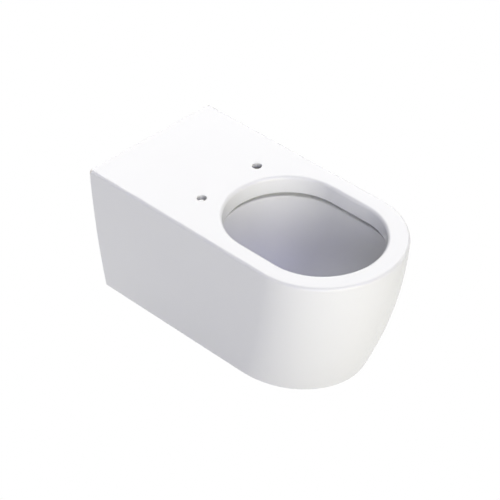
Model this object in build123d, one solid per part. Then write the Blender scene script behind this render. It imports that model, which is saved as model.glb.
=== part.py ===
"""Long-projection wall-hung toilet pan with its concealed wall fixings.

Frame, in millimetres: X across the pan, Y from front to wall, Z up.
The wall is the plane Y = 0 and the pan reaches out towards -Y.
The origin is on the wall, midway between the two wall studs.
"""

import os

from build123d import *

# Overall size of the pan
WIDTH = 360.0
PROJECTION = 700.0
HEIGHT = 330.0
RIM_ABOVE_STUDS = 80.0

# How the skirt draws in towards its foot, at the sides and at the nose
SIDE_TUCK = 27.0
NOSE_TUCK = 90.0
SIDE_LEAN_SHARE = 0.33
NOSE_LEAN_SHARE = 0.26
SKIRT_SECTIONS = 6

# Thickness of the fired clay
SKIRT_WALL = 9.0
DECK_WALL = 12.0
FLOOR_WALL = 9.0
BACK_WALL = 14.0
BOWL_WALL = 9.0
DUCT_WALL = 9.0

# Rounding of the glazed edges
RIM_OUTER_ROUND = 7.0
RIM_INNER_ROUND = 8.0
FOOT_ROUND = 5.0
SHELF_ROUND = 4.0
SEAT_HOLE_ROUND = 1.5

# Rim round the mouth, its hanging lip and the flushing channel behind the lip
RIM_SIDE = 44.0
RIM_FRONT = 48.0
MOUTH_FROM_WALL = 281.0
LIP_DEPTH = 42.0
LIP_WALL = 10.0
RIM_CHANNEL = 16.0
RIM_SLIT = 15.0
RIM_CLAY_DEPTH = 100.0
RIM_CLAY_LAP = 45.0

# Sump at the foot of the bowl
SUMP_RADIUS = 30.0
SUMP_LENGTH = 72.0
SUMP_FROM_WALL = 372.0
SUMP_STEP = 6.0

# Shares of the way from the shelf to the sump: down, then in at the sides, front and rear
BOWL_DRAW = (
    (0.00, 0.00, 0.00, 0.00),
    (0.08, 0.02, 0.02, 0.02),
    (0.32, 0.21, 0.16, 0.17),
    (0.56, 0.53, 0.46, 0.42),
    (0.78, 0.83, 0.78, 0.70),
    (1.00, 1.00, 1.00, 1.00),
)

# Trap and outlet
TRAP_RADIUS = 34.0
TRAP_SEAL = 50.0
TRAP_BEND_ROOM = 3.0
DIP_FROM_WALL = 290.0
DIP_ABOVE_FLOOR = 8.0
WEIR_FRONT_FROM_WALL = 205.0
WEIR_REAR_FROM_WALL = 150.0
OUTLET_BELOW_STUDS = 100.0
OUTLET_STRAIGHT = 26.0
SPIGOT_OUTER_RADIUS = 50.0
SPIGOT_WALL = 7.0
SPIGOT_BORE_DEPTH = 45.0
SPIGOT_LENGTH = 64.0
SPIGOT_SETBACK = 5.0
SPIGOT_ROOM = 18.0

# Flush inlet
INLET_ABOVE_STUDS = 35.0
INLET_REBATE_DEPTH = 5.0
DUCT_RADIUS = 18.0
DUCT_RISE = 14.0
DUCT_WEB = 36.0

# Flush cone, a finned rubber seal in the inlet socket
CONE_BORE_RADIUS = 22.0
CONE_WALL = 3.0
CONE_LENGTH = 42.0
CONE_FLANGE = 3.0
CONE_FLANGE_LAP = 4.5
CONE_FINS = 3
CONE_FIN_WIDTH = 4.0
CONE_FIN_REACH = 2.2
CONE_CLEARANCE = 0.3
CONE_END_ROOM = 4.3

# Seat hinge holes
SEAT_HOLE_SPACING = 165.0
SEAT_HOLE_RADIUS = 10.5
SEAT_HOLES_FROM_WALL = 246.0

# Back of the pan and its service openings
BACK_WALL_LAP = 10.0
ACCESS_FROM_WALL = 25.0
ACCESS_LENGTH = 140.0
ACCESS_SIDE_ROOM = 30.0
ACCESS_CORNER = 20.0

# Wall fixings
STUD_SPACING = 180.0
STUD_HOLE_RADIUS = 6.5
SLEEVE_RADIUS = 13.0
SLEEVE_LENGTH = 56.0
SLEEVE_FLANGE_RADIUS = 22.0
SLEEVE_FLANGE = 5.0
GROOVE_DEPTH = 3.0
WASHER_RADIUS = 12.0
WASHER_THICKNESS = 2.5
NUT_ACROSS_FLATS = 18.0
NUT_HEIGHT = 10.0
NUT_CHAMFER = 1.0
STUD_RADIUS = 6.0

# Nylon bush between the steel sleeve and the clay
BUSH_WALL = 6.4
BUSH_OVERHANG = 4.8
BUSH_FLANGE = 3.0
BUSH_FLANGE_RADIUS = 25.0
BUSH_SLOT_WIDTH = 3.0
BUSH_SLOT_LENGTH = 16.0
BOSS_WALL = 11.0
BOSS_OVERHANG = 8.7
FIT_GAP = 0.3

# Lock screw from below, in a brass insert
LOCK_FROM_WALL = 34.0
SCREW_RADIUS = 5.0
SCREW_LENGTH = 44.0
SCREW_POINT = 4.0
SCREW_SOCKET_ACROSS_FLATS = 5.0
SCREW_SOCKET_DEPTH = 7.0
THREAD_GAP = 0.06
INSERT_RADIUS = 8.0
INSERT_HEAD_ACROSS_FLATS = 22.0
INSERT_HEAD = 4.0
PAD_SIZE = 32.0
PAD_DROP = 4.0

# Places worked out from the sizes above
TOP = RIM_ABOVE_STUDS
FOOT = TOP - HEIGHT
HALF_WIDTH = WIDTH / 2
CEILING = TOP - DECK_WALL
FLOOR = FOOT + FLOOR_WALL
MOUTH_RADIUS = HALF_WIDTH - RIM_SIDE
MOUTH_FRONT_CENTRE = PROJECTION - RIM_FRONT - MOUTH_RADIUS
MOUTH_REAR_CENTRE = MOUTH_FROM_WALL + MOUTH_RADIUS
LIP_FOOT = TOP - LIP_DEPTH
LIP_FOOT_ROUND = 0.4 * LIP_WALL
SHELF_RADIUS = MOUTH_RADIUS + LIP_WALL
SHELF_FRONT = MOUTH_FRONT_CENTRE + SHELF_RADIUS
SHELF_REAR = MOUTH_REAR_CENTRE - SHELF_RADIUS
SHELF_LEVEL = LIP_FOOT - RIM_SLIT
CHANNEL_RADIUS = SHELF_RADIUS + RIM_CHANNEL
CHANNEL_REAR = MOUTH_REAR_CENTRE - CHANNEL_RADIUS
TRAP_BEND = TRAP_RADIUS + DUCT_WALL + TRAP_BEND_ROOM
DIP_LEVEL = FLOOR + DIP_ABOVE_FLOOR + DUCT_WALL + TRAP_RADIUS
WEIR_LEVEL = DIP_LEVEL + 2 * TRAP_RADIUS + TRAP_SEAL
OUTLET_LEVEL = -OUTLET_BELOW_STUDS
SUMP_FLOOR = DIP_LEVEL - TRAP_RADIUS + SUMP_STEP
SUMP_FRONT = SUMP_FROM_WALL + SUMP_LENGTH
SPIGOT_END = SPIGOT_SETBACK + SPIGOT_LENGTH
CONE_SLEEVE_RADIUS = CONE_BORE_RADIUS + CONE_WALL
CONE_FIN_RADIUS = CONE_SLEEVE_RADIUS + CONE_FIN_REACH
CONE_FLANGE_END = INLET_REBATE_DEPTH - CONE_CLEARANCE
CONE_START = CONE_FLANGE_END - CONE_FLANGE
CONE_END = CONE_START + CONE_LENGTH
INLET_SOCKET_RADIUS = CONE_FIN_RADIUS + CONE_CLEARANCE
INLET_SOCKET_DEPTH = CONE_END + CONE_END_ROOM
INLET_REBATE_RADIUS = INLET_SOCKET_RADIUS + CONE_FLANGE_LAP
WASHER_END = SLEEVE_LENGTH + WASHER_THICKNESS
BUSH_START = SLEEVE_FLANGE + FIT_GAP
BUSH_END = WASHER_END + BUSH_OVERHANG
BUSH_RADIUS = SLEEVE_RADIUS + FIT_GAP + BUSH_WALL
BOSS_BORE = BUSH_RADIUS + FIT_GAP
BOSS_RADIUS = BOSS_BORE + BOSS_WALL
BOSS_LENGTH = BUSH_END + BOSS_OVERHANG
COUNTERBORE_DEPTH = BUSH_START + BUSH_FLANGE + FIT_GAP
COUNTERBORE_RADIUS = BUSH_FLANGE_RADIUS + FIT_GAP
PAD_FACE = -(BOSS_RADIUS + PAD_DROP)
BACK_WALL_FOOT = PAD_FACE - BACK_WALL_LAP
ACCESS_WIDTH = STUD_SPACING + 2 * ACCESS_SIDE_ROOM
EDGE_TOLERANCE = 0.01
STUD_SIDES = {"left": -STUD_SPACING / 2, "right": STUD_SPACING / 2}


def side_tuck(share):
    """How far a side wall has drawn in at a share of the height below the rim."""
    return SIDE_TUCK * (SIDE_LEAN_SHARE * share + (1 - SIDE_LEAN_SHARE) * share**2)


def nose_tuck(share):
    """How far the nose has drawn back at a share of the height below the rim."""
    return NOSE_TUCK * (NOSE_LEAN_SHARE * share + (1 - NOSE_LEAN_SHARE) * share**2)


def skirt_outline(z, inset, rear):
    """The D-shaped outline of the skirt at height z, set in from the outside, closed at rear."""
    share = (TOP - z) / HEIGHT
    half = HALF_WIDTH - side_tuck(share) - inset
    reach = PROJECTION - nose_tuck(share) - inset
    nose = HALF_WIDTH - inset
    straight = -(reach - nose)
    with BuildSketch(Plane.XY.offset(z)) as sketch:
        with BuildLine():
            Line((half, rear), (-half, rear))
            Line((-half, rear), (-half, straight))
            EllipticalCenterArc((0, straight), half, nose, start_angle=180, arc_size=180)
            Line((half, straight), (half, rear))
        make_face()
    return sketch.sketch.face()


def skirt_solid(top, bottom, inset, rear):
    """A solid bounded by the skirt's outlines between two heights."""
    steps = SKIRT_SECTIONS - 1
    heights = [between(top, bottom, step / steps) for step in range(SKIRT_SECTIONS)]
    return loft([skirt_outline(z, inset, rear) for z in heights])


def long_hole(z, radius, front, rear):
    """A long hole with round ends at height z; front and rear are distances from the wall."""
    start = -(rear + radius)
    end = -(front - radius)
    with BuildSketch(Plane.XY.offset(z)) as sketch:
        with BuildLine():
            Line((-radius, start), (-radius, end))
            RadiusArc((-radius, end), (radius, end), -radius)
            Line((radius, end), (radius, start))
            RadiusArc((radius, start), (-radius, start), -radius)
        make_face()
    return sketch.sketch.face()


def mouth_prism(radius, top, bottom):
    """An upright prism with the mouth's outline, widened to the given end radius."""
    front = MOUTH_FRONT_CENTRE + radius
    rear = MOUTH_REAR_CENTRE - radius
    return extrude(long_hole(bottom, radius, front, rear), amount=top - bottom, dir=(0, 0, 1))


def between(start, end, share):
    """The value at a share of the way from start to end."""
    return start + (end - start) * share


def bowl_solid(grow):
    """The bowl's hollow below the channel's shelf, grown outwards by a wall when grow isn't zero."""
    rows = []
    for down, side, front, rear in BOWL_DRAW:
        z = between(SHELF_LEVEL, SUMP_FLOOR, down)
        half = between(SHELF_RADIUS, SUMP_RADIUS, side) + grow
        front_end = between(SHELF_FRONT, SUMP_FRONT, front) + grow
        rear_end = between(SHELF_REAR, SUMP_FROM_WALL, rear) - grow
        rows.append(long_hole(z, half, front_end, rear_end))
    solid = loft(rows)
    if grow:
        solid += extrude(rows[-1], amount=grow, dir=(0, 0, -1))
    return solid


def rod(radius, start, end, x=0.0, z=0.0):
    """A round rod along Y between two distances from the wall."""
    plane = Plane(origin=(x, -start, z), x_dir=(1, 0, 0), z_dir=(0, -1, 0))
    return extrude(plane * Circle(radius), amount=end - start)


def upright(radius, bottom, top, x=0.0, y=0.0):
    """A round rod along Z."""
    return Pos(x, y, bottom) * extrude(Circle(radius), amount=top - bottom)


def block(x_span, y_span, z_span):
    """A box between two values on each axis."""
    size = [high - low for low, high in (x_span, y_span, z_span)]
    middle = [(high + low) / 2 for low, high in (x_span, y_span, z_span)]
    return Pos(*middle) * Box(*size)


def trap_path():
    """The trap's centreline, from the sump under the dip, over the weir and out to the spigot."""
    points = (
        (0, -(SUMP_FRONT - SUMP_RADIUS), DIP_LEVEL),
        (0, -DIP_FROM_WALL, DIP_LEVEL),
        (0, -WEIR_FRONT_FROM_WALL, WEIR_LEVEL),
        (0, -WEIR_REAR_FROM_WALL, WEIR_LEVEL),
        (0, -(SPIGOT_END + OUTLET_STRAIGHT), OUTLET_LEVEL),
        (0, -SPIGOT_SETBACK, OUTLET_LEVEL),
    )
    return FilletPolyline(*points, radius=TRAP_BEND)


def trap_tube(radius):
    """A round tube along the trap's centreline."""
    path = trap_path()
    return sweep(Plane(origin=path @ 0, z_dir=path % 0) * Circle(radius), path=path)


def duct(radius):
    """The flush duct from the inlet socket up to the channel behind the lip."""
    start = Vector(0, -INLET_SOCKET_DEPTH + DUCT_WALL, INLET_ABOVE_STUDS)
    end = Vector(0, -CHANNEL_REAR - DUCT_WALL, INLET_ABOVE_STUDS + DUCT_RISE)
    along = end - start
    return extrude(Plane(origin=start, z_dir=along) * Circle(radius), amount=along.length)


def fixing_boss(x):
    """The clay boss that a wall sleeve enters, hung from the deck, with a flat pad below."""
    half_pad = PAD_SIZE / 2
    lock = -LOCK_FROM_WALL
    boss = rod(BOSS_RADIUS, 0, BOSS_LENGTH, x)
    web = block((x - half_pad, x + half_pad), (-BOSS_LENGTH, 0), (0, CEILING))
    pad = block((x - half_pad, x + half_pad), (lock - half_pad, lock + half_pad), (PAD_FACE, 0))
    return boss + web + pad


def inner_space():
    """The hollow between skirt, bowl and back wall, with its openings to the wall and underneath."""
    space = skirt_solid(CEILING, FLOOR, SKIRT_WALL, -BACK_WALL)
    window = skirt_solid(BACK_WALL_FOOT, FLOOR, SKIRT_WALL, BACK_WALL)
    space += window & block((-WIDTH, WIDTH), (-2 * BACK_WALL, BACK_WALL), (FLOOR, BACK_WALL_FOOT))
    rim_rear = CHANNEL_REAR + RIM_CLAY_LAP
    space -= block((-WIDTH, WIDTH), (-PROJECTION, -rim_rear), (TOP - RIM_CLAY_DEPTH, TOP))
    space -= bowl_solid(BOWL_WALL)
    space -= mouth_prism(CHANNEL_RADIUS + BOWL_WALL, CEILING, SHELF_LEVEL - BOWL_WALL)
    space -= trap_tube(TRAP_RADIUS + DUCT_WALL)
    space += rod(SPIGOT_OUTER_RADIUS + SPIGOT_ROOM, 0, BACK_WALL, z=OUTLET_LEVEL)
    space -= rod(SPIGOT_OUTER_RADIUS, SPIGOT_SETBACK, SPIGOT_END, z=OUTLET_LEVEL)
    socket = INLET_SOCKET_DEPTH + DUCT_WALL
    space -= rod(INLET_SOCKET_RADIUS + DUCT_WALL, 0, socket, z=INLET_ABOVE_STUDS)
    space -= duct(DUCT_RADIUS + DUCT_WALL)
    half_web = DUCT_WEB / 2
    space -= block((-half_web, half_web), (-CHANNEL_REAR, 0), (INLET_ABOVE_STUDS, CEILING))
    for x in STUD_SIDES.values():
        space -= fixing_boss(x)
    return space


def water_way():
    """The bowl, its channel and mouth, the trap and the flush inlet, as one hollow."""
    hollow = bowl_solid(0.0) + mouth_prism(CHANNEL_RADIUS, CEILING, SHELF_LEVEL)
    hollow -= mouth_prism(MOUTH_RADIUS + LIP_WALL, CEILING, LIP_FOOT)
    hollow += mouth_prism(MOUTH_RADIUS, TOP, LIP_FOOT)
    hollow += trap_tube(TRAP_RADIUS)
    bore_end = SPIGOT_SETBACK + SPIGOT_BORE_DEPTH
    hollow += rod(SPIGOT_OUTER_RADIUS - SPIGOT_WALL, SPIGOT_SETBACK, bore_end, z=OUTLET_LEVEL)
    hollow += rod(INLET_SOCKET_RADIUS, 0, INLET_SOCKET_DEPTH, z=INLET_ABOVE_STUDS)
    hollow += rod(INLET_REBATE_RADIUS, 0, INLET_REBATE_DEPTH, z=INLET_ABOVE_STUDS)
    hollow += duct(DUCT_RADIUS)
    return hollow


def access_opening():
    """The opening under the pan, next to the wall, through which the lock screws are reached."""
    middle = -(ACCESS_FROM_WALL + ACCESS_LENGTH / 2)
    outline = RectangleRounded(ACCESS_WIDTH, ACCESS_LENGTH, ACCESS_CORNER)
    return Pos(0, middle, FOOT) * extrude(outline, amount=FLOOR_WALL)


def seat_hole(x):
    """A seat hinge hole through the deck, with its mouth rounded by the glaze."""
    hole = upright(SEAT_HOLE_RADIUS, CEILING, TOP, x, -SEAT_HOLES_FROM_WALL)
    wide = SEAT_HOLE_RADIUS + SEAT_HOLE_ROUND
    collar = upright(wide, TOP - SEAT_HOLE_ROUND, TOP, x, -SEAT_HOLES_FROM_WALL)
    ring = Pos(x, -SEAT_HOLES_FROM_WALL, TOP - SEAT_HOLE_ROUND) * Torus(wide, SEAT_HOLE_ROUND)
    return hole + (collar - ring)


def free_edges(face):
    """The edges of a face that don't lie on the wall."""
    return [edge for edge in face.edges() if edge.center().Y < -EDGE_TOLERANCE]


def make_pan_body():
    """The pan itself, one fired piece of vitreous china."""
    body = split(skirt_solid(TOP, FOOT, 0.0, BACK_WALL), Plane.XZ)
    body = fillet(free_edges(body.faces().sort_by(Axis.Z)[-1]), RIM_OUTER_ROUND)
    body = fillet(free_edges(body.faces().sort_by(Axis.Z)[0]), FOOT_ROUND)
    body -= inner_space()
    body -= water_way()
    body -= access_opening()
    for side in (-1, 1):
        body -= seat_hole(side * SEAT_HOLE_SPACING / 2)
    for x in STUD_SIDES.values():
        body -= rod(BOSS_BORE, 0, BOSS_LENGTH, x)
        body -= rod(COUNTERBORE_RADIUS, 0, COUNTERBORE_DEPTH, x)
        body -= upright(INSERT_RADIUS + FIT_GAP, PAD_FACE, 0, x, -LOCK_FROM_WALL)
    return round_mouth(body)


def mouth_edges(body, z, radius):
    """The body's edges at height z that lie on or inside the mouth, widened to an end radius."""
    half = radius + EDGE_TOLERANCE
    front = -(MOUTH_FRONT_CENTRE + half)
    rear = -(MOUTH_REAR_CENTRE - half)
    edges = body.edges().filter_by_position(Axis.Z, z - EDGE_TOLERANCE, z + EDGE_TOLERANCE)
    edges = edges.filter_by_position(Axis.X, -half, half)
    return edges.filter_by_position(Axis.Y, front, rear)


def round_mouth(body):
    """Rounds the mouth's upper edge, the foot of the hanging lip and the edge of the shelf."""
    body = fillet(mouth_edges(body, TOP, MOUTH_RADIUS), RIM_INNER_ROUND)
    body = fillet(mouth_edges(body, LIP_FOOT, MOUTH_RADIUS + LIP_WALL), LIP_FOOT_ROUND)
    return fillet(mouth_edges(body, SHELF_LEVEL, SHELF_RADIUS), SHELF_ROUND)


def make_flush_cone():
    """The rubber seal that the flush pipe is pushed through: a sleeve with fins and a flange."""
    cone = rod(CONE_SLEEVE_RADIUS, CONE_START, CONE_END)
    cone += rod(INLET_REBATE_RADIUS - CONE_CLEARANCE, CONE_START, CONE_FLANGE_END)
    pitch = (CONE_END - CONE_FLANGE_END) / (CONE_FINS + 1)
    for number in range(1, CONE_FINS + 1):
        start = CONE_FLANGE_END + number * pitch
        fin = rod(CONE_FIN_RADIUS, start, start + CONE_FIN_WIDTH)
        cone += chamfer(fin.edges().sort_by(Axis.Y)[0], CONE_FIN_REACH / 2)
    cone -= rod(CONE_BORE_RADIUS, 0, CONE_END)
    return Pos(0, 0, INLET_ABOVE_STUDS) * cone


def make_fixing_sleeve(x):
    """The steel sleeve that stands on the wall stud and carries the pan."""
    sleeve = rod(SLEEVE_RADIUS, 0, SLEEVE_LENGTH, x) + rod(SLEEVE_FLANGE_RADIUS, 0, SLEEVE_FLANGE, x)
    sleeve -= rod(STUD_HOLE_RADIUS, 0, SLEEVE_LENGTH, x)
    groove_top = SLEEVE_RADIUS - GROOVE_DEPTH
    profile = Polyline(
        (SLEEVE_RADIUS, -LOCK_FROM_WALL - GROOVE_DEPTH - SCREW_RADIUS),
        (SLEEVE_RADIUS, -LOCK_FROM_WALL + GROOVE_DEPTH + SCREW_RADIUS),
        (groove_top, -LOCK_FROM_WALL + SCREW_RADIUS),
        (groove_top, -LOCK_FROM_WALL - SCREW_RADIUS),
        close=True,
    )
    groove = revolve(make_face(profile), Axis.Y)
    return sleeve - Pos(x, 0, 0) * groove


def make_stud_washer(x):
    """The plain washer between the sleeve's end and its nut."""
    washer = rod(WASHER_RADIUS, SLEEVE_LENGTH, WASHER_END, x)
    return washer - rod(STUD_HOLE_RADIUS, SLEEVE_LENGTH, WASHER_END, x)


def make_stud_nut(x):
    """The hexagon nut that clamps the sleeve to the wall stud."""
    end = WASHER_END + NUT_HEIGHT
    plane = Plane(origin=(x, -WASHER_END, 0), x_dir=(1, 0, 0), z_dir=(0, -1, 0))
    hexagon = RegularPolygon(NUT_ACROSS_FLATS / 2, 6, major_radius=False)
    nut = extrude(plane * hexagon, amount=NUT_HEIGHT)
    crown = rod(NUT_ACROSS_FLATS / 2 + NUT_CHAMFER, WASHER_END, end, x)
    nut &= chamfer(crown.edges().filter_by(GeomType.CIRCLE), NUT_CHAMFER)
    return nut - rod(STUD_RADIUS, WASHER_END, end, x)


def make_sleeve_bush(x):
    """The nylon bush in the clay boss that rides on the steel sleeve."""
    bush = rod(BUSH_RADIUS, BUSH_START, BUSH_END, x)
    bush += rod(BUSH_FLANGE_RADIUS, BUSH_START, BUSH_START + BUSH_FLANGE, x)
    bush -= rod(SLEEVE_RADIUS + FIT_GAP, BUSH_START, BUSH_END, x)
    half_slot = BUSH_SLOT_WIDTH / 2
    slot_span = (-BUSH_END, -(BUSH_END - BUSH_SLOT_LENGTH))
    bush -= block((x - half_slot, x + half_slot), slot_span, (-BUSH_RADIUS, BUSH_RADIUS))
    bush -= block((x - BUSH_RADIUS, x + BUSH_RADIUS), slot_span, (-half_slot, half_slot))
    return bush - upright(SCREW_RADIUS + FIT_GAP, -BUSH_RADIUS, 0, x, -LOCK_FROM_WALL)


def make_thread_insert(x):
    """The brass insert in the boss that holds the lock screw's thread."""
    insert = upright(INSERT_RADIUS, PAD_FACE, -BOSS_BORE - FIT_GAP, x, -LOCK_FROM_WALL)
    hexagon = RegularPolygon(INSERT_HEAD_ACROSS_FLATS / 2, 6, major_radius=False)
    head = Pos(x, -LOCK_FROM_WALL, PAD_FACE - INSERT_HEAD) * extrude(hexagon, amount=INSERT_HEAD)
    insert += head
    return insert - upright(SCREW_RADIUS + THREAD_GAP, PAD_FACE - INSERT_HEAD, 0, x, -LOCK_FROM_WALL)


def make_lock_screw(x):
    """The set screw whose point stands in the sleeve's groove, with a hexagon socket below."""
    tip = -(SLEEVE_RADIUS - GROOVE_DEPTH) - FIT_GAP
    bottom = tip - SCREW_LENGTH
    screw = upright(SCREW_RADIUS, bottom, tip, x, -LOCK_FROM_WALL)
    point_edge = screw.edges().sort_by(Axis.Z)[-1]
    screw = chamfer(point_edge, SCREW_POINT, SCREW_POINT / 2)
    socket = RegularPolygon(SCREW_SOCKET_ACROSS_FLATS / 2, 6, major_radius=False)
    return screw - Pos(x, -LOCK_FROM_WALL, bottom) * extrude(socket, amount=SCREW_SOCKET_DEPTH)


def main():
    """Builds every piece and writes one STEP file for each."""
    pieces = {"pan_body": make_pan_body(), "flush_cone": make_flush_cone()}
    for side, x in STUD_SIDES.items():
        pieces[f"fixing_sleeve_{side}"] = make_fixing_sleeve(x)
        pieces[f"stud_washer_{side}"] = make_stud_washer(x)
        pieces[f"stud_nut_{side}"] = make_stud_nut(x)
        pieces[f"sleeve_bush_{side}"] = make_sleeve_bush(x)
        pieces[f"thread_insert_{side}"] = make_thread_insert(x)
        pieces[f"lock_screw_{side}"] = make_lock_screw(x)
    os.makedirs("parts", exist_ok=True)
    for name, piece in pieces.items():
        export_step(piece, f"parts/{name}.step")


main()
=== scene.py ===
"""Dresses a wall-hung toilet pan: glazed china, bare clay, plated steel, brass, nylon and rubber.

Everything is in metres, in the part's own frame: the wall is the plane Y = 0, the bowl reaches out
towards -Y and Z is up. The origin is on the wall, midway between the two wall studs.
"""

import math

import bmesh
import bpy
from mathutils import Matrix, Vector


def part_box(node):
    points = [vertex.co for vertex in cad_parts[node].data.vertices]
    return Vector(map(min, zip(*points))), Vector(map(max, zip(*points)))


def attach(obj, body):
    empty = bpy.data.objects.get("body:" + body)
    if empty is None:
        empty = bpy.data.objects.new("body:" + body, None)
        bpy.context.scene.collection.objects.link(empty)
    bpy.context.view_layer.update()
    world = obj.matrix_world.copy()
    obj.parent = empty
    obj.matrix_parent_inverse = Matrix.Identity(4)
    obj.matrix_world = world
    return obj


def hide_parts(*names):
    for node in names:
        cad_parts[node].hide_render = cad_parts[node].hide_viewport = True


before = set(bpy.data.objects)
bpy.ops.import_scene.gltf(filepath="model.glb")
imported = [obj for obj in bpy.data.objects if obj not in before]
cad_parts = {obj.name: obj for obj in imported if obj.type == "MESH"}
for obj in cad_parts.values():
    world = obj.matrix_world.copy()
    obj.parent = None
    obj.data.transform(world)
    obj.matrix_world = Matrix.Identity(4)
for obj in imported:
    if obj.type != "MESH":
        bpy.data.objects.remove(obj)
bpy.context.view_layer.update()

bl_info = {
    "name": "Wall-hung toilet pan",
    "version": (1, 0, 0),
    "blender": (4, 5, 0),
    "location": "View3D > Sidebar > Pan",
    "description": "Dresses the pan and its wall fixings, and sets up the studio around them",
    "category": "Object",
}

SIDES = {"left": -1, "right": 1}
PAN_LOW, PAN_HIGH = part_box("pan_body")
CONE_LOW, CONE_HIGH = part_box("flush_cone")
STUD_LOW, STUD_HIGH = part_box("fixing_sleeve_right")
WASHER_LOW, WASHER_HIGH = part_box("stud_washer_right")
NUT_LOW, NUT_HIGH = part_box("stud_nut_right")
SCREW_LOW, SCREW_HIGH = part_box("lock_screw_right")
STUD_X = (STUD_LOW.x + STUD_HIGH.x) / 2
LOCK_Y = (SCREW_LOW.y + SCREW_HIGH.y) / 2
INLET_Z = (CONE_LOW.z + CONE_HIGH.z) / 2

# Points nearer than this are one point, and edges that turn further than this stay sharp
MERGE = 1e-5
SHARP = math.radians(32)

# Flat steps round the turned pieces, the cone, the screws and one turn of a thread
ROUND_STEPS = 72
CONE_STEPS = 96
SCREW_STEPS = 48
THREAD_STEPS = 28

# Shares of a thread's pitch: the width of its ridge, and how far the nut's ridge reaches inwards
RIDGE_WIDTH = 0.95
NUT_RIDGE = 0.6

# Share of a cone fin's width that keeps its full height, and the screw point's taper per length
FIN_TOP = 0.4
POINT_TAPER = 0.25

# Between these two values lies most of what a noise texture gives
NOISE_LOW, NOISE_HIGH = 0.3, 0.7

# The floor's half width in metres, and its grey, which sets the light that it throws up
FLOOR_SIZE = 20
FLOOR_GREY = 0.65
FLOOR_ROUGHNESS = 0.9

# The camera's film in millimetres and its reach in metres
FILM_WIDTH = 36
CAMERA_REACH = 100

# Each lamp's name, its spread, its turn to the right and its height in degrees, and its tint
LAMPS = (
    ("back_light", 60, 135, 42, (1.0, 0.995, 0.93)),
    ("front_light", 40, 0, 54, (0.68, 0.67, 1.0)),
    ("side_light", 40, -54, 9, (0.83, 0.84, 1.0)),
    ("nose_light", 40, -17, 12, (1.0, 0.97, 0.65)),
)


def length(name, description, default):
    """A property that holds a length in metres."""
    return bpy.props.FloatProperty(
        name=name, description=description, default=default, min=0, subtype="DISTANCE", precision=4)


def colour(name, description, default):
    """A property that holds a colour."""
    return bpy.props.FloatVectorProperty(
        name=name, description=description, default=default, min=0, max=1, subtype="COLOR")


def amount(name, description, default):
    """A property that holds a plain number."""
    return bpy.props.FloatProperty(name=name, description=description, default=default, min=0)


class PanFinish(bpy.types.PropertyGroup):
    """Colours of the pan's materials."""

    china: colour("China", "Colour of the white glaze", (0.80, 0.803, 0.822))
    clay: colour("Bare clay", "Colour of the fired clay where no glaze covers it", (0.80, 0.775, 0.725))
    steel: colour("Steel", "Colour of the zinc plate", (0.66, 0.67, 0.69))
    brass: colour("Brass", "Colour of the thread inserts", (0.76, 0.60, 0.28))
    nylon: colour("Nylon", "Colour of the sleeve bushes", (0.86, 0.85, 0.81))
    rubber: colour("Rubber", "Colour of the flush cone", (0.05, 0.05, 0.055))


class PanGlaze(bpy.types.PropertyGroup):
    """Where the glaze ends."""

    deck: length("Deck", "Thickness of the deck, whose underside is bare", 0.012)
    outlet_setback: length("Outlet setback", "How far the bare outlet end lies off the wall", 0.005)
    deck_depth: length("Deck depth", "How far the deck with the seat holes reaches", 0.262)
    seat_holes: length("Seat holes", "Distance of the seat holes from the middle, less their radius", 0.06)


class PanFixings(bpy.types.PropertyGroup):
    """Sizes of the rubber cone and the wall fixings."""

    cone_bore: length("Cone bore", "Radius of the hole through the cone", 0.022)
    cone_sleeve: length("Cone sleeve", "Radius of the cone between its fins", 0.025)
    cone_fin: length("Cone fin", "Radius of the cone's fins", 0.0272)
    cone_fin_width: length("Cone fin width", "Width of a fin at its root", 0.004)
    cone_fins: bpy.props.IntProperty(name="Cone fins", description="Number of fins", default=3, min=1)
    cone_flange: length("Cone flange", "Thickness of the cone's flange", 0.003)
    stud_hole: length("Stud hole", "Radius of the hole for the wall stud", 0.0065)
    sleeve: length("Sleeve", "Radius of the steel sleeve", 0.013)
    sleeve_flange: length("Sleeve flange", "Thickness of the sleeve's flange", 0.005)
    groove: length("Groove", "Depth of the groove that the lock screw enters", 0.003)
    nut_bore: length("Nut bore", "Radius of the nut's thread at its root", 0.006)
    nut_pitch: length("Nut pitch", "Pitch of the nut's thread", 0.00175)
    screw_core: length("Screw core", "Radius of the lock screw at its thread's root", 0.0041)
    screw_pitch: length("Screw pitch", "Pitch of the lock screw's thread", 0.0015)
    screw_point: length("Screw point", "Length of the lock screw's point", 0.004)
    socket: length("Socket", "Width across the flats of the lock screw's socket", 0.005)
    socket_depth: length("Socket depth", "Depth of the lock screw's socket", 0.007)
    edge_round: length("Edge round", "Rounding of the hardware's edges", 0.0004)


class PanStage(bpy.types.PropertyGroup):
    """Camera and light."""

    azimuth: bpy.props.FloatProperty(
        name="Azimuth", description="Turn of the camera round the pan", subtype="ANGLE",
        default=math.radians(-44.655))
    elevation: bpy.props.FloatProperty(
        name="Elevation", description="Height of the camera over the pan", subtype="ANGLE",
        default=math.radians(37.231))
    roll: bpy.props.FloatProperty(
        name="Roll", description="Tilt of the camera about its own line of sight", subtype="ANGLE",
        default=math.radians(-0.698))
    place: bpy.props.FloatVectorProperty(
        name="Place", description="Where the camera stands", subtype="TRANSLATION", unit="LENGTH",
        default=(-2.5471, -2.8835, 2.6825))
    lens: amount("Lens", "Focal length in millimetres", 151.87)
    floor_gap: length("Floor gap", "Height at which the pan hangs over the floor", 0.07)
    back_light: amount("Back light", "Strength of the soft light from behind on the right", 2.62)
    front_light: amount("Front light", "Strength of the soft light from the front, high up", 0.9)
    side_light: amount("Side light", "Strength of the low light from the front left", 1.6)
    nose_light: amount("Nose light", "Strength of the low light on the pan's nose", 1.78)


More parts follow.
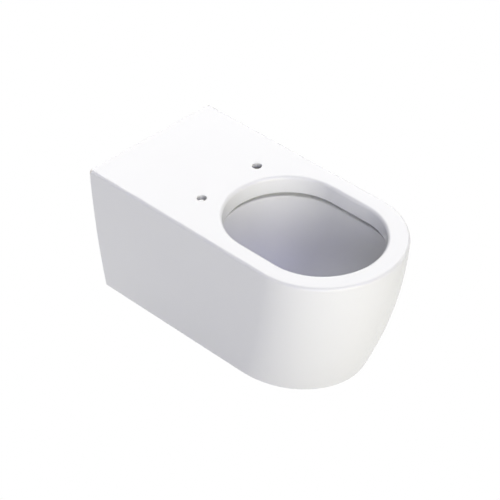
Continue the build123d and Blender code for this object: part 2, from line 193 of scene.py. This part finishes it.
def node_group(name, inputs, output):
    """An empty shader node group, as (group, its input node, its output node)."""
    group = bpy.data.node_groups.new(name, "ShaderNodeTree")
    for label, kind in inputs:
        group.interface.new_socket(label, in_out="INPUT", socket_type=f"NodeSocket{kind}")
    group.interface.new_socket(output[0], in_out="OUTPUT", socket_type=f"NodeSocket{output[1]}")
    return group, group.nodes.new("NodeGroupInput"), group.nodes.new("NodeGroupOutput")


def noise_in(group, entry, detail):
    """A noise texture in a group, fed by the group's Vector and Scale."""
    noise = group.nodes.new("ShaderNodeTexNoise")
    noise.inputs["Detail"].default_value = detail
    group.links.new(entry.outputs["Vector"], noise.inputs["Vector"])
    group.links.new(entry.outputs["Scale"], noise.inputs["Scale"])
    return noise.outputs["Fac"]


def uneven_tone():
    """A colour that darkens here and there, as a fired or moulded surface does."""
    group, entry, leave = node_group(
        "uneven_tone",
        (("Vector", "Vector"), ("Color", "Color"), ("Scale", "Float"), ("Amount", "Float")),
        ("Color", "Color"))
    loss = group.nodes.new("ShaderNodeMath")
    loss.operation = "MULTIPLY"
    group.links.new(noise_in(group, entry, 3), loss.inputs[0])
    group.links.new(entry.outputs["Amount"], loss.inputs[1])
    rest = group.nodes.new("ShaderNodeMath")
    rest.operation = "SUBTRACT"
    rest.inputs[0].default_value = 1
    group.links.new(loss.outputs[0], rest.inputs[1])
    shade = group.nodes.new("ShaderNodeHueSaturation")
    group.links.new(entry.outputs["Color"], shade.inputs["Color"])
    group.links.new(rest.outputs[0], shade.inputs["Value"])
    group.links.new(shade.outputs["Color"], leave.inputs["Color"])
    return group


def uneven_gloss():
    """A roughness that drifts between two values."""
    group, entry, leave = node_group(
        "uneven_gloss",
        (("Vector", "Vector"), ("Scale", "Float"), ("Low", "Float"), ("High", "Float")),
        ("Roughness", "Float"))
    drift = group.nodes.new("ShaderNodeMapRange")
    drift.inputs["From Min"].default_value = NOISE_LOW
    drift.inputs["From Max"].default_value = NOISE_HIGH
    group.links.new(noise_in(group, entry, 2), drift.inputs["Value"])
    group.links.new(entry.outputs["Low"], drift.inputs["To Min"])
    group.links.new(entry.outputs["High"], drift.inputs["To Max"])
    group.links.new(drift.outputs["Result"], leave.inputs["Roughness"])
    return group


def fine_relief():
    """The small unevenness of a glazed, cast or moulded surface, as a height."""
    group, entry, leave = node_group(
        "fine_relief", (("Vector", "Vector"), ("Scale", "Float")), ("Height", "Float"))
    group.links.new(noise_in(group, entry, 4), leave.inputs["Height"])
    return group


def turning_marks():
    """Fine rings about the vector's Z axis, as a lathe leaves them, as a height."""
    group, entry, leave = node_group(
        "turning_marks", (("Vector", "Vector"), ("Scale", "Float")), ("Height", "Float"))
    flat = group.nodes.new("ShaderNodeVectorMath")
    flat.operation = "MULTIPLY"
    flat.inputs[1].default_value = (1, 1, 0)
    group.links.new(entry.outputs["Vector"], flat.inputs[0])
    radius = group.nodes.new("ShaderNodeVectorMath")
    radius.operation = "LENGTH"
    group.links.new(flat.outputs["Vector"], radius.inputs[0])
    parts = group.nodes.new("ShaderNodeSeparateXYZ")
    group.links.new(entry.outputs["Vector"], parts.inputs[0])
    along = group.nodes.new("ShaderNodeMath")
    group.links.new(parts.outputs["Z"], along.inputs[0])
    group.links.new(radius.outputs["Value"], along.inputs[1])
    rings = group.nodes.new("ShaderNodeTexNoise")
    rings.noise_dimensions = "1D"
    rings.inputs["Detail"].default_value = 2
    group.links.new(along.outputs[0], rings.inputs["W"])
    group.links.new(entry.outputs["Scale"], rings.inputs["Scale"])
    group.links.new(rings.outputs["Fac"], leave.inputs["Height"])
    return group


def shared_group(make):
    """The node group that a function makes, made once and then used again."""
    return bpy.data.node_groups.get(make.__name__) or make()


def new_material(name):
    """A node material with a Principled BSDF, as (material, nodes, links, shader)."""
    material = bpy.data.materials.new(name)
    material.use_nodes = True
    nodes = material.node_tree.nodes
    return material, nodes, material.node_tree.links, nodes["Principled BSDF"]


def surface_place(nodes, links, centre, turn):
    """Object coordinates folded onto the right-hand side, centred and turned, as a socket."""
    place = nodes.new("ShaderNodeTexCoord")
    fold = nodes.new("ShaderNodeVectorMath")
    fold.operation = "ABSOLUTE"
    links.new(place.outputs["Object"], fold.inputs[0])
    centred = nodes.new("ShaderNodeMapping")
    centred.inputs["Location"].default_value = [-abs(value) for value in centre]
    links.new(fold.outputs["Vector"], centred.inputs["Vector"])
    turned_round = nodes.new("ShaderNodeMapping")
    turned_round.inputs["Rotation"].default_value = turn
    links.new(centred.outputs["Vector"], turned_round.inputs["Vector"])
    return turned_round.outputs["Vector"]


def surface(name, base, tone, gloss, relief, bump, metallic=0.0, centre=(0, 0, 0), turn=(0, 0, 0)):
    """A material with uneven tone and gloss and a fine relief.

    tone is (scale, amount), gloss is (scale, low, high), relief is (group function, scale) and bump is
    (strength, distance).
    """
    material, nodes, links, shader = new_material(name)
    vector = surface_place(nodes, links, centre, turn)

    def placed(make, **values):
        node = nodes.new("ShaderNodeGroup")
        node.node_tree = shared_group(make)
        links.new(vector, node.inputs["Vector"])
        for label, value in values.items():
            node.inputs[label].default_value = value
        return node.outputs[0]

    tint = placed(uneven_tone, Color=(*base, 1), Scale=tone[0], Amount=tone[1])
    links.new(tint, shader.inputs["Base Color"])
    links.new(placed(uneven_gloss, Scale=gloss[0], Low=gloss[1], High=gloss[2]), shader.inputs["Roughness"])
    height = nodes.new("ShaderNodeBump")
    height.inputs["Strength"].default_value = bump[0]
    height.inputs["Distance"].default_value = bump[1]
    links.new(placed(relief[0], Scale=relief[1]), height.inputs["Height"])
    links.new(height.outputs["Normal"], shader.inputs["Normal"])
    shader.inputs["Metallic"].default_value = metallic
    return material


def china_material():
    """White gloss glaze over vitreous china."""
    base = bpy.context.scene.pan_finish.china
    return surface("glazed_china", base, (4, 0.015), (5, 0.23, 0.25), (fine_relief, 90), (0.05, 0.0006))


def clay_material():
    """Fired clay without glaze."""
    base = bpy.context.scene.pan_finish.clay
    return surface("bare_clay", base, (60, 0.12), (40, 0.75, 0.95), (fine_relief, 700), (0.4, 0.0004))


def rubber_material():
    """Matt black rubber with the bloom that moulding leaves."""
    base = bpy.context.scene.pan_finish.rubber
    return surface("moulded_rubber", base, (90, 0.4), (120, 0.5, 0.75), (fine_relief, 1500), (0.25, 0.0002))


def nylon_material():
    """Natural nylon."""
    base = bpy.context.scene.pan_finish.nylon
    return surface("natural_nylon", base, (70, 0.08), (90, 0.35, 0.5), (fine_relief, 900), (0.15, 0.0002))


def steel_material():
    """Zinc-plated steel, turned about the wall stud's line."""
    base = bpy.context.scene.pan_finish.steel
    return surface(
        "zinc_plate", base, (150, 0.2), (110, 0.24, 0.42), (turning_marks, 2500), (0.2, 0.0002),
        metallic=1.0, centre=(STUD_X, 0, 0), turn=(math.pi / 2, 0, 0))


def screw_material():
    """Zinc-plated steel, turned about the lock screw's line."""
    base = bpy.context.scene.pan_finish.steel
    return surface(
        "zinc_plate_screw", base, (200, 0.25), (150, 0.26, 0.45), (turning_marks, 2500), (0.2, 0.0002),
        metallic=1.0, centre=(STUD_X, LOCK_Y, 0))


def brass_material():
    """Turned brass."""
    base = bpy.context.scene.pan_finish.brass
    return surface(
        "turned_brass", base, (120, 0.18), (110, 0.22, 0.4), (turning_marks, 2200), (0.25, 0.0002),
        metallic=1.0, centre=(STUD_X, LOCK_Y, 0))


def merged_copy(node):
    """A bmesh of a CAD node's mesh with its loose triangles joined."""
    shape = bmesh.new()
    shape.from_mesh(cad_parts[node].data)
    bmesh.ops.remove_doubles(shape, verts=shape.verts, dist=MERGE)
    for face in shape.faces:
        face.material_index = 0
    return shape


def sharp_edges(shape):
    """The edges of a shape where it turns a corner."""
    return [edge for edge in shape.edges if edge.is_manifold and edge.calc_face_angle() > SHARP]


def round_edges(shape, size):
    """Rounds the sharp edges of a shape."""
    bmesh.ops.bevel(
        shape, geom=sharp_edges(shape), offset=size, segments=2, profile=0.5, affect="EDGES",
        material=-1, clamp_overlap=True)


def turned(shape, profile, closed=True, steps=ROUND_STEPS):
    """Spins a profile of (distance along, radius) points about the Z axis."""
    verts = [shape.verts.new((radius, 0, along)) for along, radius in profile]
    ends = verts[1:] + verts[:1] if closed else verts[1:]
    edges = [shape.edges.new(pair) for pair in zip(verts, ends)]
    bmesh.ops.spin(
        shape, geom=verts + edges, cent=(0, 0, 0), axis=(0, 0, 1), angle=math.tau, steps=steps,
        use_merge=True)
    bmesh.ops.remove_doubles(shape, verts=shape.verts, dist=MERGE)
    bmesh.ops.recalc_face_normals(shape, faces=shape.faces)


def thread(shape, root, crest, pitch, start, end):
    """Winds a V-shaped ridge about the Z axis, from its root radius to its crest, between two heights."""
    turns = math.floor((end - start) / pitch - 1)
    profile = ((root, start), (crest, start + pitch / 2), (root, start + pitch * RIDGE_WIDTH))
    ridge = shape.faces.new([shape.verts.new((radius, 0, along)) for radius, along in profile])
    bmesh.ops.spin(
        shape, geom=[ridge], cent=(0, 0, 0), axis=(0, 0, 1), dvec=(0, 0, pitch / THREAD_STEPS),
        angle=math.tau * turns, steps=THREAD_STEPS * turns)


def off_wall(x=0.0, z=0.0):
    """The matrix that turns distances along Z into distances from the wall, at one place on it."""
    return Matrix.Translation((x, 0, z)) @ Matrix.Rotation(math.pi / 2, 4, "X")


def finish_piece(shape, name, material, body, node):
    """Makes a shape the piece that stands for a CAD node."""
    bmesh.ops.recalc_face_normals(shape, faces=shape.faces)
    for face in shape.faces:
        face.smooth = True
    for edge in shape.edges:
        edge.smooth = edge.is_manifold and edge.calc_face_angle() < SHARP
    mesh = bpy.data.meshes.new(name)
    shape.to_mesh(mesh)
    shape.free()
    mesh.materials.append(material)
    piece = bpy.data.objects.new(name, mesh)
    bpy.context.scene.collection.objects.link(piece)
    weighted = piece.modifiers.new("weighted", "WEIGHTED_NORMAL")
    weighted.keep_sharp = True
    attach(piece, body)
    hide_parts(node)
    return piece


def ends_glaze(edge, glaze):
    """Whether the glaze stops at an edge: on the wall, at the outlet, or where the hollow opens."""
    points = [vert.co for vert in edge.verts]
    if min(point.y for point in points) > PAN_HIGH.y - glaze.outlet_setback - MERGE:
        return True
    if not edge.is_manifold or edge.calc_face_angle() < SHARP:
        return False
    if max(point.z for point in points) < PAN_LOW.z + MERGE:
        return True
    under_deck = PAN_HIGH.z - glaze.deck
    return all(
        abs(point.z - under_deck) < MERGE and abs(point.x) > glaze.seat_holes
        and point.y > PAN_HIGH.y - glaze.deck_depth for point in points)


def glazed_faces(shape, glaze):
    """The faces that the glaze covers: all that is reached from the deck without passing its ends."""
    waiting = [face for face in shape.faces if face.calc_center_median().z > PAN_HIGH.z - MERGE]
    reached = set(waiting)
    while waiting:
        for edge in waiting.pop().edges:
            if not ends_glaze(edge, glaze):
                fresh = set(edge.link_faces) - reached
                reached |= fresh
                waiting.extend(fresh)
    return reached


class PAN_OT_china(bpy.types.Operator):
    """Makes the pan a smooth piece of glazed china, bare where no glaze would be"""

    bl_idname = "pan.china"
    bl_label = "Pan"

    def execute(self, context):
        shape = merged_copy("pan_body")
        glazed = glazed_faces(shape, context.scene.pan_glaze)
        for face in shape.faces:
            face.material_index = 0 if face in glazed else 1
        piece = finish_piece(shape, "pan_china", china_material(), "pan", "pan_body")
        piece.data.materials.append(clay_material())
        return {"FINISHED"}


class PAN_OT_flush_cone(bpy.types.Operator):
    """Makes the finned rubber cone that seals the flush pipe"""

    bl_idname = "pan.flush_cone"
    bl_label = "Flush cone"

    def execute(self, context):
        sizes = context.scene.pan_fixings
        start, end = -CONE_HIGH.y, -CONE_LOW.y
        flange_end = start + sizes.cone_flange
        flange = (CONE_HIGH.z - CONE_LOW.z) / 2
        profile = [
            (start, sizes.cone_bore), (start, flange), (flange_end, flange),
            (flange_end, sizes.cone_sleeve)]
        pitch = (end - flange_end) / (sizes.cone_fins + 1)
        for number in range(1, sizes.cone_fins + 1):
            root = flange_end + number * pitch
            profile += [
                (root, sizes.cone_sleeve), (root, sizes.cone_fin),
                (root + sizes.cone_fin_width * FIN_TOP, sizes.cone_fin),
                (root + sizes.cone_fin_width, sizes.cone_sleeve)]
        profile += [(end, sizes.cone_sleeve), (end, sizes.cone_bore)]
        shape = bmesh.new()
        turned(shape, profile, steps=CONE_STEPS)
        round_edges(shape, sizes.edge_round)
        bmesh.ops.transform(shape, matrix=off_wall(z=INLET_Z), verts=shape.verts)
        finish_piece(shape, "rubber_cone", rubber_material(), "pan", "flush_cone")
        return {"FINISHED"}


class PAN_OT_sleeves(bpy.types.Operator):
    """Turns the two steel sleeves that stand on the wall studs"""

    bl_idname = "pan.sleeves"
    bl_label = "Sleeves"

    def execute(self, context):
        sizes = context.scene.pan_fixings
        end = -STUD_LOW.y
        flange = (STUD_HIGH.z - STUD_LOW.z) / 2
        screw = (SCREW_HIGH.y - SCREW_LOW.y) / 2
        groove = sizes.sleeve - sizes.groove
        profile = (
            (0, sizes.stud_hole), (0, flange), (sizes.sleeve_flange, flange),
            (sizes.sleeve_flange, sizes.sleeve), (-LOCK_Y - screw - sizes.groove, sizes.sleeve),
            (-LOCK_Y - screw, groove), (-LOCK_Y + screw, groove),
            (-LOCK_Y + screw + sizes.groove, sizes.sleeve), (end, sizes.sleeve), (end, sizes.stud_hole))
        material = steel_material()
        for side, sign in SIDES.items():
            shape = bmesh.new()
            turned(shape, profile)
            round_edges(shape, sizes.edge_round)
            bmesh.ops.transform(shape, matrix=off_wall(sign * STUD_X), verts=shape.verts)
            node = f"fixing_sleeve_{side}"
            finish_piece(shape, f"steel_sleeve_{side}", material, "pan", node)
        return {"FINISHED"}


class PAN_OT_nuts(bpy.types.Operator):
    """Makes the washers and the threaded nuts on the wall studs"""

    bl_idname = "pan.nuts"
    bl_label = "Nuts and washers"

    def execute(self, context):
        sizes = context.scene.pan_fixings
        material = steel_material()
        for side, sign in SIDES.items():
            self.washer(sizes, material, side, sign)
            self.nut(sizes, material, side, sign)
        return {"FINISHED"}

    def washer(self, sizes, material, side, sign):
        start, end = -WASHER_HIGH.y, -WASHER_LOW.y
        edge = (WASHER_HIGH.z - WASHER_LOW.z) / 2
        shape = bmesh.new()
        turned(shape, ((start, sizes.stud_hole), (start, edge), (end, edge), (end, sizes.stud_hole)))
        round_edges(shape, sizes.edge_round)
        bmesh.ops.transform(shape, matrix=off_wall(sign * STUD_X), verts=shape.verts)
        finish_piece(shape, f"steel_washer_{side}", material, "pan", f"stud_washer_{side}")

    def nut(self, sizes, material, side, sign):
        shape = bmesh.new()
        crest = sizes.nut_bore - NUT_RIDGE * sizes.nut_pitch
        thread(shape, sizes.nut_bore + MERGE, crest, sizes.nut_pitch, -NUT_HIGH.y, -NUT_LOW.y)
        bmesh.ops.transform(shape, matrix=off_wall(sign * STUD_X), verts=shape.verts)
        node = f"stud_nut_{side}"
        shape.from_mesh(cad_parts[node].data)
        bmesh.ops.remove_doubles(shape, verts=shape.verts, dist=MERGE / 10)
        finish_piece(shape, f"steel_nut_{side}", material, "pan", node)


class PAN_OT_bushes(bpy.types.Operator):
    """Smooths the slotted nylon bushes between the sleeves and the china"""

    bl_idname = "pan.bushes"
    bl_label = "Bushes"

    def execute(self, context):
        material = nylon_material()
        for side in SIDES:
            node = f"sleeve_bush_{side}"
            finish_piece(merged_copy(node), f"nylon_bush_{side}", material, "pan", node)
        return {"FINISHED"}


class PAN_OT_inserts(bpy.types.Operator):
    """Smooths the brass inserts that hold the lock screws"""

    bl_idname = "pan.inserts"
    bl_label = "Inserts"

    def execute(self, context):
        material = brass_material()
        for side in SIDES:
            node = f"thread_insert_{side}"
            finish_piece(merged_copy(node), f"brass_insert_{side}", material, "pan", node)
        return {"FINISHED"}


class PAN_OT_lock_screws(bpy.types.Operator):
    """Makes the two threaded lock screws with their hexagon sockets"""

    bl_idname = "pan.lock_screws"
    bl_label = "Lock screws"

    def execute(self, context):
        sizes = context.scene.pan_fixings
        material = screw_material()
        for side, sign in SIDES.items():
            shape = self.core(sizes)
            crest = (SCREW_HIGH.x - SCREW_LOW.x) / 2
            start = SCREW_LOW.z + sizes.screw_pitch / 2
            end = SCREW_HIGH.z - sizes.screw_point
            thread(shape, sizes.screw_core - MERGE, crest, sizes.screw_pitch, start, end)
            bmesh.ops.translate(shape, vec=(sign * STUD_X, LOCK_Y, 0), verts=shape.verts)
            node = f"lock_screw_{side}"
            finish_piece(shape, f"steel_screw_{side}", material, node, node)
        return {"FINISHED"}

    def core(self, sizes):
        """The screw without its thread: a socketed rod with a flat point."""
        bottom, tip = SCREW_LOW.z, SCREW_HIGH.z
        chamfer = sizes.edge_round
        profile = (
            (bottom, sizes.screw_core - chamfer), (bottom + chamfer, sizes.screw_core),
            (tip - sizes.screw_point, sizes.screw_core),
            (tip, sizes.screw_core - sizes.screw_point * POINT_TAPER), (tip, 0))
        shape = bmesh.new()
        turned(shape, profile, closed=False, steps=SCREW_STEPS)
        rim = [edge for edge in shape.edges if edge.is_boundary]
        corner = sizes.socket / 2 / math.cos(math.pi / 6)
        hexagon = bmesh.ops.create_circle(
            shape, segments=6, radius=corner, matrix=Matrix.Translation((0, 0, bottom)))
        mouth = list({edge for vert in hexagon["verts"] for edge in vert.link_edges})
        bmesh.ops.bridge_loops(shape, edges=rim + mouth)
        floor = bmesh.ops.extrude_edge_only(shape, edges=mouth)["geom"]
        points = [item for item in floor if isinstance(item, bmesh.types.BMVert)]
        bmesh.ops.translate(shape, vec=(0, 0, sizes.socket_depth), verts=points)
        bmesh.ops.contextual_create(shape, geom=points)
        return shape


class PAN_OT_stage(bpy.types.Operator):
    """Sets up the floor, the light and the camera"""

    bl_idname = "pan.stage"
    bl_label = "Stage"

    def execute(self, context):
        stage = context.scene.pan_stage
        context.scene.view_settings.view_transform = "Standard"
        self.floor(context, stage)
        self.backdrop(context)
        for name, *setting in LAMPS:
            self.lamp(context, name, getattr(stage, name), *setting)
        self.camera(context, stage)
        return {"FINISHED"}

    def floor(self, context, stage):
        shape = bmesh.new()
        bmesh.ops.create_grid(shape, x_segments=1, y_segments=1, size=FLOOR_SIZE)
        bmesh.ops.translate(shape, verts=shape.verts, vec=(0, 0, PAN_LOW.z - stage.floor_gap))
        mesh = bpy.data.meshes.new("studio_floor")
        shape.to_mesh(mesh)
        shape.free()
        floor = bpy.data.objects.new("studio_floor", mesh)
        context.scene.collection.objects.link(floor)
        material, nodes, links, shader = new_material("studio_floor")
        shader.inputs["Base Color"].default_value = (FLOOR_GREY, FLOOR_GREY, FLOOR_GREY, 1)
        shader.inputs["Roughness"].default_value = FLOOR_ROUGHNESS
        shader.inputs["Specular IOR Level"].default_value = 0
        show_as_white(material)
        mesh.materials.append(material)

    def backdrop(self, context):
        """A world that is white to the eye and gives no light."""
        world = bpy.data.worlds.new("studio")
        context.scene.world = world
        world.use_nodes = True
        nodes, links = world.node_tree.nodes, world.node_tree.links
        white = nodes["Background"]
        white.inputs["Color"].default_value = (1, 1, 1, 1)
        links.new(seen_directly(nodes, links), white.inputs["Strength"])

    def lamp(self, context, name, strength, spread, turn, height, tint):
        """A soft lamp far off: how wide it looks, and its turn to the right and height, in degrees."""
        data = bpy.data.lights.new(name, "SUN")
        data.energy = strength
        data.angle = math.radians(spread)
        data.color = tint
        lamp = bpy.data.objects.new(name, data)
        context.scene.collection.objects.link(lamp)
        azimuth, elevation = math.radians(turn), math.radians(height)
        towards = Vector((
            math.sin(azimuth) * math.cos(elevation), -math.cos(azimuth) * math.cos(elevation),
            math.sin(elevation)))
        lamp.rotation_euler = towards.to_track_quat("Z", "Y").to_euler()

    def camera(self, context, stage):
        data = bpy.data.cameras.new("camera")
        data.sensor_width = FILM_WIDTH
        data.lens = stage.lens
        data.clip_end = CAMERA_REACH
        camera = bpy.data.objects.new("camera", data)
        context.scene.collection.objects.link(camera)
        turn = Matrix.Rotation(stage.azimuth, 3, "Z")
        tilt = Matrix.Rotation(math.pi / 2 - stage.elevation, 3, "X")
        roll = Matrix.Rotation(stage.roll, 3, "Z")
        camera.matrix_world = Matrix.Translation(stage.place) @ (turn @ tilt @ roll).to_4x4()
        context.scene.camera = camera


def seen_directly(nodes, links):
    """A socket that is 1 for camera, glossy and transmission rays and 0 for the rest."""
    path = nodes.new("ShaderNodeLightPath")
    camera_or_glossy = nodes.new("ShaderNodeMath")
    camera_or_glossy.operation = "MAXIMUM"
    links.new(path.outputs["Is Camera Ray"], camera_or_glossy.inputs[0])
    links.new(path.outputs["Is Glossy Ray"], camera_or_glossy.inputs[1])
    any_of_three = nodes.new("ShaderNodeMath")
    any_of_three.operation = "MAXIMUM"
    links.new(camera_or_glossy.outputs[0], any_of_three.inputs[0])
    links.new(path.outputs["Is Transmission Ray"], any_of_three.inputs[1])
    return any_of_three.outputs[0]


def show_as_white(material):
    """Lets a stage material show as plain white to the eye, without shadow, and clear from below."""
    nodes, links = material.node_tree.nodes, material.node_tree.links
    white = nodes.new("ShaderNodeEmission")
    white.inputs["Color"].default_value = (1, 1, 1, 1)
    pale = nodes.new("ShaderNodeMixShader")
    links.new(seen_directly(nodes, links), pale.inputs[0])
    links.new(nodes["Principled BSDF"].outputs[0], pale.inputs[1])
    links.new(white.outputs[0], pale.inputs[2])
    side = nodes.new("ShaderNodeNewGeometry")
    clear = nodes.new("ShaderNodeMixShader")
    links.new(side.outputs["Backfacing"], clear.inputs[0])
    links.new(pale.outputs[0], clear.inputs[1])
    links.new(nodes.new("ShaderNodeBsdfTransparent").outputs[0], clear.inputs[2])
    links.new(clear.outputs[0], nodes["Material Output"].inputs["Surface"])


class PAN_PT_panel(bpy.types.Panel):
    """Lists the steps that dress the pan"""

    bl_label = "Pan"
    bl_idname = "PAN_PT_panel"
    bl_space_type = "VIEW_3D"
    bl_region_type = "UI"
    bl_category = "Pan"

    def draw(self, context):
        for step in STEPS:
            self.layout.operator(step.bl_idname)


STEPS = (
    PAN_OT_china, PAN_OT_flush_cone, PAN_OT_sleeves, PAN_OT_nuts, PAN_OT_bushes, PAN_OT_inserts,
    PAN_OT_lock_screws, PAN_OT_stage)
GROUPS = {
    "pan_finish": PanFinish, "pan_glaze": PanGlaze, "pan_fixings": PanFixings, "pan_stage": PanStage}
CLASSES = (*GROUPS.values(), *STEPS, PAN_PT_panel)


def register():
    """Registers the classes and hangs their values on the scene."""
    for item in CLASSES:
        bpy.utils.register_class(item)
    for name, group in GROUPS.items():
        setattr(bpy.types.Scene, name, bpy.props.PointerProperty(type=group))


def unregister():
    """Undoes register."""
    for name in GROUPS:
        delattr(bpy.types.Scene, name)
    for item in reversed(CLASSES):
        bpy.utils.unregister_class(item)


def main():
    """Runs the steps in order."""
    register()
    for step in STEPS:
        group, name = step.bl_idname.split(".")
        getattr(getattr(bpy.ops, group), name)()


if __name__ == "__main__":
    main()
